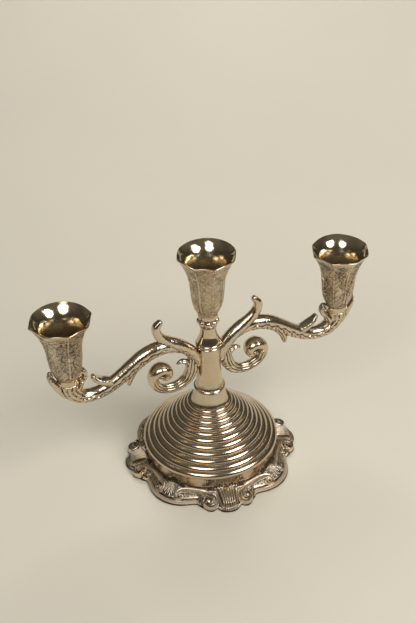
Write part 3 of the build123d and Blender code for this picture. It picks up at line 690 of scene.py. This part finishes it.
def chase(co, faces):
    """Relief on the casting: leaf edges, flutes and veins, mm along the normal."""
    ed = edges_of(faces)
    co = relax(co, ed, 2, 0.35)
    names = list(LIMBS_SAMPLED)
    li_, s, ph, dd = limb_coords(co, names)
    nrm = normals(co, faces)
    nz1, nz2 = value_noise(5), value_noise(6)
    ay = np.abs(co[:, 1])
    h = np.zeros(len(co))
    deg = np.degrees(ph)
    wob = nz1(co[:, 0] * 0.55, co[:, 2] * 0.55) - 0.5
    fine = nz2(co[:, 0] * 1.9 + 7, co[:, 2] * 1.9 + ay * 1.3) - 0.5

    # branch: smooth above, an acanthus sheath below with a lobed, raised edge and slanting veins
    b = li_ == names.index("branch")
    S = s
    ramp_in = smoothstep(10, 20, S)
    edge = 92 + 16 * (0.5 - 0.5 * np.cos(S * 2 * math.pi / 9.5)) - 26 * smoothstep(72, 96, S) - 10 * smoothstep(100, 125, S)
    below = smoothstep(-4, 4, deg - edge)
    lip = np.exp(-((deg - edge) / 5.5) ** 2)
    groove = np.exp(-((deg - edge + 9) / 5.0) ** 2)
    vein = tri(S / 4.6 - (deg - edge) / 46.0)
    vein2 = tri(S / 9.5 - (deg - edge) / 95.0 + 0.25)
    hb = ramp_in * (0.42 * below + 0.34 * lip - 0.30 * groove - 0.52 * below * (1 - smoothstep(0.0, 0.5, vein)) - 0.25 * below * (1 - smoothstep(0, 0.3, vein2)))
    keel = np.exp(-((deg - 180) / 9.0) ** 2)
    hb += 0.35 * keel * ramp_in * smoothstep(88, 96, S)
    # towards the seat the flutes run along the arm
    late = smoothstep(84, 96, S)
    flute = np.cos(np.radians(deg) * 11.0)
    hb = hb * (1 - 0.55 * late) + late * 0.30 * flute * smoothstep(20, 45, deg)
    scales = 0.30 * (tri(S / 3.1 + np.floor(deg / 16.4) * 0.5) - 0.5) * smoothstep(104, 112, S)
    h = np.where(b, hb + scales, h)

    # stem and horn: polished back, a groove down the inner side, lobed edge low on the flanks
    st = li_ == names.index("stem")
    hs = -0.35 * np.exp(-((deg - 180) / 26.0) ** 2) * smoothstep(44, 52, S) + 0.25 * np.exp(-((deg - 138) / 12.0) ** 2) * smoothstep(40, 50, S)
    e2 = 118 + 14 * np.cos(S * 2 * math.pi / 8.0)
    hs += (1 - smoothstep(30, 40, S)) * (0.35 * smoothstep(-4, 4, deg - e2) - 0.45 * smoothstep(-4, 4, deg - e2) * (1 - smoothstep(0, 0.5, tri(S / 4.2 + deg / 50))) - 0.22 * np.exp(-((deg - e2 + 8) / 5) ** 2))
    h = np.where(st, hs, h)

    # C-scroll: three flutes along it, dying away on the ball
    sc_ = li_ == names.index("scroll")
    LS = LIMBS_SAMPLED["scroll"]["s"][-1]
    fade = 1 - smoothstep(LS * 0.60, LS * 0.74, S)
    g = (np.exp(-((deg - 62) / 9.0) ** 2) + np.exp(-((deg - 96) / 8.0) ** 2) + 0.8 * np.exp(-((deg - 28) / 8.0) ** 2))
    outer_leaf = smoothstep(112, 120, deg) * (0.25 - 0.40 * (1 - smoothstep(0, 0.5, tri(S / 4.8 - deg / 60))))
    hsc = fade * (-0.55 * g + 0.9 * outer_leaf * (1 - smoothstep(34, 46, S))) + 0.25 * fade * np.exp(-((deg - 79) / 7.0) ** 2)
    h = np.where(sc_, hsc, h)

    # small leaves: a midrib and two grooves
    for nm, side in (("dip", 0), ("drop", 0), ("inner", 0)):
        q = li_ == names.index(nm)
        hl = 0.22 * np.exp(-((deg - 90) / 10.0) ** 2) - 0.36 * np.exp(-((deg - 66) / 9.0) ** 2) - 0.36 * np.exp(-((deg - 114) / 9.0) ** 2)
        if nm == "dip":
            hl = -0.5 * np.exp(-(deg / 34.0) ** 2) * smoothstep(6, 12, S) + 0.15 * np.exp(-((deg - 62) / 12.0) ** 2)
        h = np.where(q, hl, h)
    for nm in ("volute_in", "volute_out"):
        q = li_ == names.index(nm)
        hv = 0.30 * np.cos(ay * 2 * math.pi / 2.1) + 0.18 * (tri(S / 2.6) - 0.5)
        h = np.where(q, hv, h)
    h += 0.10 * fine + 0.10 * wob
    # nothing grows on the seat face or into the cup's space
    seat = (co[:, 2] > ARM_CUP_Z - 0.7) & (np.hypot(co[:, 0] - ARM_X, co[:, 1]) < 9.0)
    h[seat] = 0
    hsm = h.copy()
    cnt = np.bincount(ed.ravel(), minlength=len(co)).astype(float)
    for _ in range(1):
        hsm = 0.5 * hsm + 0.5 * (np.bincount(ed[:, 0], hsm[ed[:, 1]], len(co)) + np.bincount(ed[:, 1], hsm[ed[:, 0]], len(co))) / cnt
    out = co + nrm * hsm[:, None]
    # the back of the casting fits the column
    sleeve_r = np.interp(out[:, 2], [75.6, 78.2, 82.9, 88.9, 98.0, 108.0, 114.1, 114.2, 115.1, 119.1, 119.3, 120.7, 123.2, 126.0],
                         [11.75, 11.0, 10.5, 10.0, 9.52, 9.25, 9.2, 9.9, 10.75, 10.75, 10.2, 9.6, 8.5, 7.4]) + 0.02
    rr = np.hypot(out[:, 0], out[:, 1])
    m_ = rr < sleeve_r
    k = np.where(m_, sleeve_r / np.maximum(rr, 1e-6), 1.0)
    out[:, 0] *= k
    out[:, 1] *= k
    # stay under the cup: keep clear of its foot and flare
    cr = np.interp(out[:, 2], [ARM_CUP_Z, ARM_CUP_Z + 3.0, ARM_CUP_Z + 5.4, ARM_CUP_Z + 8.2, ARM_CUP_Z + 12.4, ARM_CUP_Z + 17, ARM_CUP_Z + 23],
                   [8.35, 8.4, 8.9, 10.4, 12.2, 13.1, 13.9])
    dx, dy = out[:, 0] - ARM_X, out[:, 1]
    rc = np.hypot(dx, dy)
    m_ = (out[:, 2] > ARM_CUP_Z + 0.02) & (rc < cr)
    k = np.where(m_, cr / np.maximum(rc, 1e-6), 1.0)
    out[:, 0] = ARM_X + dx * k
    out[:, 1] = dy * k
    cv = cavity(out, faces, 12, 0.16)
    cv = cv - 0.35 * (np.degrees(ph) < 75) * b
    return out, faces, cv


arm_v, arm_f, arm_cav = chase(*cast_arm())
build("arm_casting_right", arm_v, arm_f, "branch", m_cast, ["arm_right"], attrs={"cav": arm_cav})
build("arm_casting_left", arm_v * np.array([-1, -1, 1]), arm_f, "branch", m_cast, ["arm_left"], attrs={"cav": arm_cav})


# ------------------------------------------------------------------ rocaille border
BORDER_EDGE = [(0, 74.45), (2.4, 74.2), (4.6, 73.3), (6.6, 71.4), (8.2, 69.6), (9.4, 70.5), (11.2, 72.0), (13.2, 72.1), (15.4, 70.9),
               (17.2, 68.9), (18.6, 68.1), (20.2, 67.0), (22, 65.4), (25, 65.75), (28, 67.1), (32, 69.1), (36, 70.6),
               (40.5, 71.7), (45, 72.15)]


def pull_in(p):
    """Ornament drawn on the first, wider outline, moved in with the rim."""
    p = np.array(p, float)
    r = np.hypot(p[:, 0], p[:, 1])
    k = (r - 1.4 * np.clip((r - 57) / 9, 0, 1)) / r
    return p[:, :2] * k[:, None]


def path_dist(x, y, path):
    """Distance to a polyline and the side of it (positive to the left of its direction)."""
    best = np.full(x.shape, 1e9)
    along = np.zeros(x.shape)
    s0 = 0.0
    for (ax, ay), (bx, by) in zip(path, path[1:]):
        ex, ey = bx - ax, by - ay
        L2 = ex * ex + ey * ey
        if L2 < 1e-9:
            continue
        t = np.clip(((x - ax) * ex + (y - ay) * ey) / L2, 0, 1)
        d = np.hypot(x - ax - ex * t, y - ay - ey * t)
        m_ = d < best
        best = np.where(m_, d, best)
        along = np.where(m_, s0 + t * math.sqrt(L2), along)
        s0 += math.sqrt(L2)
    return best, along, s0


def rocaille():
    seg = 1920
    per = seg // 8
    sdeg = np.linspace(0, 45, per + 1)
    ec = smooth_curve(np.array(BORDER_EDGE, float), 6)
    edge = np.interp(sdeg, ec[:, 0], ec[:, 1])
    lipw = np.interp(sdeg, [0, 6, 8, 10, 16, 19, 22.5, 30, 37, 41, 45], [2.7, 2.1, 0.9, 0.75, 0.75, 0.9, 2.7, 3.2, 3.4, 3.7, 3.9])
    nv = 84
    v_ = np.linspace(0, 1, nv)
    S = np.repeat(sdeg[:, None], nv, 1)
    R = 56.04 + (edge[:, None] - 56.04) * v_[None]
    X, Y = R * np.sin(np.radians(S)), R * np.cos(np.radians(S))
    E = np.repeat(edge[:, None], nv, 1)
    EI = E - np.repeat(lipw[:, None], nv, 1)
    u = np.clip((R - 57.4) / (EI - 57.4), 0, 1)
    slope = 4.0 + 5.5 * (1 - u) ** 1.12
    # tarnish and painted shade: darker in the channels, moats, grooves and against the dome, lighter on crests and the
    # plain lip
    tarnish_and_shade = np.zeros_like(slope)

    # long C-scroll: raised inner edge that ends in a volute beside the shell and a small curl at the leaf
    main = smooth_curve(pull_in([(39.6, 53.2), (38.2, 52.0), (37.0, 53.6), (38.4, 55.6), (41.0, 55.2), (42.4, 52.6), (41.0, 49.8), (37.6, 48.5),
                                 (32.4, 49.3), (27.3, 51.4), (22.6, 53.7), (18.6, 55.7), (15.0, 58.0), (12.0, 60.9), (10.2, 65.0), (11.0, 69.4), (14.2, 71.4),
                                 (18.0, 70.3), (20.2, 67.0), (19.2, 63.6), (16.2, 62.0), (13.4, 63.6), (13.0, 66.6), (15.2, 68.2), (17.2, 66.8), (16.0, 65.2)]), 6)
    d, al, L = path_dist(X, Y, main)
    # which side of the ridge the dome is on
    ridge_r = np.interp(S, [9.0, 10.5, 13, 18.4, 22.8, 28, 33.4, 37.8, 40.5, 45], [60.4, 61.2, 59.4, 58.4, 57.9, 57.9, 58.6, 60.6, 61.6, 61.8])
    chan = smoothstep(0.2, -0.9, R - ridge_r) * smoothstep(8.5, 11, S) * (1 - smoothstep(37, 40, S))
    slope = slope * (1 - chan) + (9.3 + 0.3 * (57.4 - R)) * chan
    tarnish_and_shade += 0.25 * chan
    # recessed, stippled field of the cartouche
    ring_out = EI - 1.0
    field = smoothstep(0.5, 1.4, R - ridge_r) * smoothstep(0.2, 1.0, ring_out - R) * smoothstep(10.5, 14.0, S) * (1 - smoothstep(33.5, 37.5, S))
    ns = value_noise(71)
    stip = ns(X * 1.05 + 3.1, Y * 1.05) - 0.5
    stip2 = ns(X * 0.6 + 9.3, Y * 0.6 + 31.7) - 0.5
    slope = slope - field * 0.75 + field * (0.55 * stip + 0.35 * stip2)
    tarnish_and_shade += 0.42 * field - 0.7 * field * stip
    z = slope.copy()
    # broad rounded body under the volute
    vx, vy = pull_in([(15.3, 66.4)])[0]
    dv = np.hypot(X - vx, Y - vy)
    z += 0.9 * (1 - smoothstep(3.5, 6.2, dv))
    width = np.interp(al / L, [0, 0.10, 0.25, 0.45, 0.60, 0.8, 1], [0.8, 0.85, 0.9, 0.95, 1.05, 1.1, 0.95])
    hh = np.interp(al / L, [0, 0.10, 0.25, 0.45, 0.60, 0.8, 1], [1.2, 1.2, 1.25, 1.35, 1.7, 1.5, 1.5])
    rd = np.sqrt(np.clip(1 - (d / width) ** 2, 0, 1))
    z += hh * rd
    moat = np.exp(-((d - width - 0.45) / 0.45) ** 2)
    outer_side = smoothstep(-0.6, 0.2, R - ridge_r)
    z -= 0.50 * moat * (d > width * 0.8) * (0.3 + 0.7 * outer_side)
    tarnish_and_shade += 0.50 * moat * (0.3 + 0.7 * outer_side) - 1.0 * rd ** 2
    for (bx, by), br, bh in zip(pull_in([(21.7, 62.8), (16.4, 66.2), (39.3, 53.6), (24.6, 60.2)]), (2.0, 1.35, 1.0, 1.15), (2.0, 1.9, 1.4, 0.8)):
        q = np.clip(1 - ((X - bx) ** 2 + (Y - by) ** 2) / br ** 2, 0, 1)
        z = np.where(q > 0, np.maximum(z, slope + bh * np.sqrt(q) + 0.2), z)
        db = np.hypot(X - bx, Y - by)
        tarnish_and_shade += 0.5 * np.exp(-((db - br - 0.3) / 0.4) ** 2) - 0.4 * (q > 0.3)
    # outer edge of the cartouche
    od = np.abs(R - ring_out)
    om = smoothstep(19.5, 21.5, S) * (1 - smoothstep(34.5, 37.5, S))
    z += 0.55 * om * np.sqrt(np.clip(1 - (od / 0.95) ** 2, 0, 1))
    tarnish_and_shade -= 0.2 * om * (od < 0.8)

    # shell: a fan of nearly parallel flutes running down from the dome
    hw = np.interp(R, [56, 57.5, 60, 66, 71.5, 74], [8.2, 8.0, 7.6, 6.8, 6.2, 6.6])
    q = np.abs(X) / hw
    inside = 1 - smoothstep(0.92, 1.02, q)
    tip_r = EI - 0.15 - 0.8 * q ** 2
    fl = 0.5 + 0.5 * np.cos(2 * math.pi * np.clip(q, 0, 1) * 3.6)
    body = np.interp(R, [56.04, 57.5, 60, 63, 66, 69, 71.5], [11.7, 11.7, 11.4, 10.5, 9.3, 7.7, 6.2])
    shell = body - 1.9 * (1 - np.sqrt(np.clip(1 - (q * 0.95) ** 2, 0, 1))) + 1.15 * (fl ** 0.75 - 0.5) * smoothstep(56.6, 58.0, R)
    roll = smoothstep(-0.2, 1.4, tip_r + 0.30 * fl - R)
    shell = 2.4 + (shell - 2.4) * roll ** 0.5
    z = z * (1 - inside) + shell * inside
    tarnish_and_shade = tarnish_and_shade * (1 - inside) + inside * (0.02 + 0.62 * (1 - fl) ** 1.5 - 0.95 * fl ** 2 + 0.7 * (1 - roll))
    gap = np.exp(-((q - 1.08) / 0.07) ** 2) * smoothstep(57.6, 59, R)
    z -= 0.9 * gap * (R < EI)
    tarnish_and_shade += 0.8 * gap * (R < EI)

    # acanthus at the corner of the quarter
    cr, ca = 55.6, math.radians(45)
    cx_, cy_ = cr * math.sin(ca), cr * math.cos(ca)
    lx, ly = X - cx_, Y - cy_
    out = lx * math.sin(ca) + ly * math.cos(ca)
    tan_ = np.abs(lx * math.cos(ca) - ly * math.sin(ca))
    psi = np.degrees(np.arctan2(tan_, out))
    qd = np.hypot(out, tan_)
    leaf_h = np.zeros_like(z)
    leaf_m = np.zeros_like(z)
    for pc, pw, ql, hz in ((0, 9.0, 11.9, 1.05), (17.5, 8.5, 11.5, 1.0), (34.0, 8.0, 10.2, 1.0), (49.5, 7.5, 8.4, 0.95), (64, 7.0, 6.6, 0.9)):
        w_ = pw * (1 + 0.0 * qd)
        bend = psi - pc - 3.0 * np.clip(qd / ql, 0, 1) ** 2 * (pc > 0)
        cross = 1 - (bend / w_) ** 2
        end = 1 - np.clip((qd - ql * 0.70) / (ql * 0.30), 0, None) ** 2
        m_ = (cross > 0) & (end > 0)
        hgt = np.where(m_, hz * np.sqrt(np.clip(cross, 0, 1)) * np.sqrt(np.clip(end, 0, 1)), 0)
        hgt -= np.where(m_, 0.60 * np.exp(-(bend / (w_ * 0.22)) ** 2) * smoothstep(2.5, 5, qd) * np.clip(end, 0, 1), 0)
        leaf_h = np.maximum(leaf_h, hgt)
        leaf_m = np.maximum(leaf_m, m_ * 1.0)
    reach = smoothstep(0.9, 2.6, d) if False else 1.0
    lm = leaf_m * smoothstep(0.1, 0.9, EI - R + 0.3)
    z = np.where(lm > 0, np.maximum(z, slope + leaf_h * lm + 0.25), z)
    groove = np.exp(-((leaf_h - 0.12) / 0.22) ** 2) * (S > 34) * (qd < 15)
    tarnish_and_shade += 0.50 * groove * (d > 1.1) - 0.05 * (leaf_h > 0.7) + 0.30 * (leaf_m > 0)

    tarnish_and_shade += 0.10

    # step down to the plain lip
    lip = 2.55 - 0.35 * np.clip((R - EI) / 3.0, 0, 1)
    on = smoothstep(0.30, -0.30, R - EI)
    z = lip + (z - lip) * on
    # painted shade: a dark line in the crease where the ornament steps down to the lip; the plain lip beyond is kept
    # light
    tarnish_and_shade += 0.9 * np.exp(-((R - EI - 0.15) / 0.35) ** 2) - 1.1 * smoothstep(0.45, 0.9, R - EI)
    # rounded outer edge
    e_ = np.clip((R - (E - 0.9)) / 0.9, 0, 1)
    z -= 0.9 * (1 - np.sqrt(np.clip(1 - e_ ** 2, 0, 1))) * (z < 4)

    # wall against the dome, with leaf tips lying on the band
    fr = (3.1 * np.exp(-((S - 5.0) / 3.0) ** 2) + 1.5 * np.exp(-((S - 12.4) / 2.8) ** 2)
          + 3.5 * np.exp(-((S - 44.0) / 3.6) ** 2) + 1.5 * np.exp(-((S - 36.6) / 2.4) ** 2))
    fr = fr * (0.76 + 0.36 * np.abs(np.sin(S * math.pi / 2.3 + 0.6)))
    wall = 10.15 + fr * (1 - smoothstep(56.1, 57.6, R)) + 0.35 * fr * (1 - smoothstep(57, 59.6, R))
    wm = 1 - smoothstep(56.5, 57.9 + 0 * R, R)
    z = np.where((fr > 0.3) & (q > 0.95), np.maximum(z, wall * smoothstep(59.9, 57.4, R)), z)
    z = z * (1 - wm) + np.maximum(z * (wm < 0.7), wall) * wm
    # painted shade: a dark band where the border stands against the dome
    tarnish_and_shade += (0.95 * smoothstep(59.0, 56.8, R) * smoothstep(0.15, 1.4, fr) + 0.15 * wm) * (1 - 0.6 * inside)
    z += 0.10 * (ns(X * 1.9 + 5, Y * 1.9 + 17) - 0.5) * on

    # mirror the wedge round the circle
    def whole(a):
        half = np.concatenate([a, a[-2:0:-1]], 0)         # one quarter, shell to shell
        return np.concatenate([half] * 4, 0)
    zt, rt, dt = whole(z), whole(R), whole(tarnish_and_shade)
    st = whole(smoothstep(0.35, 0.9, R - EI) * (1 - inside))
    zt = np.maximum(zt, 0.5)
    n_ = zt.shape[0]
    # small unevenness so that no two quarters are quite alike
    TH = np.radians(-10.6) + np.linspace(0, 2 * math.pi, n_, endpoint=False)[:, None]
    nz = value_noise(88)
    zt = zt + 0.22 * (nz(TH * 9.7 + 40, rt * 0.35) - 0.5) * smoothstep(57.5, 60, rt)
    e1 = whole(edge[:, None])
    one = np.ones_like(e1)
    ru, zu = [], []
    ru += [e1, e1 - 0.12, e1 - 0.45, e1 - 3.2, e1 - 3.45]
    zu += [one * 0.75, one * 0.22, one * 0.0, one * 0.0, one * 0.3]
    for t in np.linspace(0.0, 1, 9):
        rr_ = (e1 - 3.6) * (1 - t) + 53.4 * t
        uu = np.clip((rr_ - 57.4) / (e1 - 2 - 57.4), 0, 1)
        ru.append(rr_)
        zu.append(np.maximum(0.8, 1.3 + 6.0 * (1 - uu) ** 1.12))
    RR = np.concatenate([rt] + ru + [one * 53.4, one * 55.9, one * 56.02], 1)
    ZZ = np.concatenate([zt] + zu + [one * 11.14, one * 11.16, one * 10.8], 1)
    DD = np.concatenate([dt] + [one * 0.3] * (len(ru) + 3), 1)
    ST = np.concatenate([st] + [one * 0.0] * (len(ru) + 3), 1)
    v = np.stack([RR * np.cos(TH), RR * np.sin(TH), ZZ], -1).reshape(-1, 3)
    f = grid_faces(n_, RR.shape[1], True, True)
    cv = 1.35 * cavity(v, f, 10, 0.18) + DD.ravel()
    return build("border", v, f, "base", m_border, ["base_border"], attrs={"cav": cv, "satin": ST.ravel()})


rocaille()


# ------------------------------------------------------------------ floor, backdrop, lights
def stage_material():
    mt = bpy.data.materials.new("paper")
    mt.use_nodes = True
    nt = mt.node_tree
    bs = nt.nodes["Principled BSDF"]
    tc = nt.nodes.new("ShaderNodeTexCoord")
    n1 = nt.nodes.new("ShaderNodeTexNoise")
    n1.inputs["Scale"].default_value = 3.0
    n1.inputs["Detail"].default_value = 3.0
    nt.links.new(tc.outputs["Object"], n1.inputs["Vector"])
    rp = nt.nodes.new("ShaderNodeValToRGB")
    rp.color_ramp.elements[0].position = 0.3
    rp.color_ramp.elements[0].color = (0.70, 0.655, 0.552, 1)
    rp.color_ramp.elements[1].position = 0.7
    rp.color_ramp.elements[1].color = (0.73, 0.685, 0.577, 1)
    nt.links.new(n1.outputs["Fac"], rp.inputs["Fac"])
    nt.links.new(rp.outputs["Color"], bs.inputs["Base Color"])
    bs.inputs["Roughness"].default_value = 0.9
    n2 = nt.nodes.new("ShaderNodeTexNoise")
    n2.inputs["Scale"].default_value = 900.0
    nt.links.new(tc.outputs["Object"], n2.inputs["Vector"])
    bp = nt.nodes.new("ShaderNodeBump")
    bp.inputs["Distance"].default_value = 0.0001
    bp.inputs["Strength"].default_value = 0.4
    nt.links.new(n2.outputs["Fac"], bp.inputs["Height"])
    nt.links.new(bp.outputs["Normal"], bs.inputs["Normal"])
    return mt


def sweep_paper():
    """Paper sweep: flat floor that curves up well behind the object."""
    view = Vector((fwd.x, fwd.y, 0)).normalized()
    side = Vector((view.y, -view.x, 0))
    pts = [(-1.6, 0.0), (-0.5, 0.0), (0.2, 0.0), (0.40, 0.0)]
    R, c0 = 1.2, 0.40
    for k in range(1, 25):
        a = math.radians(54) * k / 24
        pts.append((c0 + R * math.sin(a), R - R * math.cos(a)))
    vs, fs = [], []
    for (d, z) in pts:
        for s in (-1.9, 1.35):
            p = view * d + side * s
            vs.append((p.x * 1000, p.y * 1000, z * 1000))
    for i in range(len(pts) - 1):
        fs.append((2 * i, 2 * i + 1, 2 * i + 3, 2 * i + 2))
    me = bpy.data.meshes.new("paper_sweep")
    me.from_pydata([tuple(np.array(v) * MM) for v in vs], [], fs)
    me.update()
    me.polygons.foreach_set("use_smooth", np.ones(len(me.polygons), bool))
    ob = bpy.data.objects.new("paper_sweep", me)
    bpy.context.scene.collection.objects.link(ob)
    me.materials.append(stage_material())
    return ob


sweep_paper()


def area_light(name, az, el, dist, size, power, color, target=(0, 0, 0.09), size_y=None):
    """Softbox; az in degrees from the camera's side, positive to its right; el above the horizon."""
    back = -Vector((fwd.x, fwd.y, 0)).normalized()
    sidev = Vector((right.x, right.y, 0)).normalized()
    a, e = math.radians(az), math.radians(el)
    d = (back * math.cos(a) + sidev * math.sin(a)) * math.cos(e) + Vector((0, 0, 1)) * math.sin(e)
    ld = bpy.data.lights.new(name, "AREA")
    ld.shape = "RECTANGLE" if size_y else "DISK"
    ld.size = size
    if size_y:
        ld.size_y = size_y
    ld.energy = power
    ld.color = color
    ob = bpy.data.objects.new(name, ld)
    bpy.context.scene.collection.objects.link(ob)
    pos = Vector(target) + d * dist
    ob.location = pos
    ob.rotation_euler = (Vector(target) - pos).to_track_quat("-Z", "Y").to_euler()
    return ob


area_light("softbox_left", -17, 46, 1.9, 1.0, 10.2, (1.0, 0.985, 0.955))
area_light("softbox_right", 58, 42, 1.9, 1.0, 22.0, (1.0, 0.985, 0.955))
fill = area_light("back_fill", 180, 45, 1.6, 1.0, 10.2, (1.0, 0.985, 0.96))
fill.visible_glossy = False

world = bpy.data.worlds.new("room")
bpy.context.scene.world = world
world.use_nodes = True
wn = world.node_tree
bg = wn.nodes["Background"]
tcw = wn.nodes.new("ShaderNodeTexCoord")
sep = wn.nodes.new("ShaderNodeSeparateXYZ")
wn.links.new(tcw.outputs["Generated"], sep.inputs["Vector"])
rpw = wn.nodes.new("ShaderNodeValToRGB")
rpw.color_ramp.elements[0].position = 0.0
rpw.color_ramp.elements[0].color = (0.105, 0.096, 0.078, 1)
rpw.color_ramp.elements[1].position = 1.0
rpw.color_ramp.elements[1].color = (0.165, 0.155, 0.125, 1)
e_ = rpw.color_ramp.elements.new(0.30)
e_.color = (0.055, 0.050, 0.042, 1)
wn.links.new(sep.outputs["Z"], rpw.inputs["Fac"])
wn.links.new(rpw.outputs["Color"], bg.inputs["Color"])
bg.inputs["Strength"].default_value = 1.0

sc = bpy.context.scene
sc.view_settings.view_transform = "Standard"
sc.view_settings.look = "None"
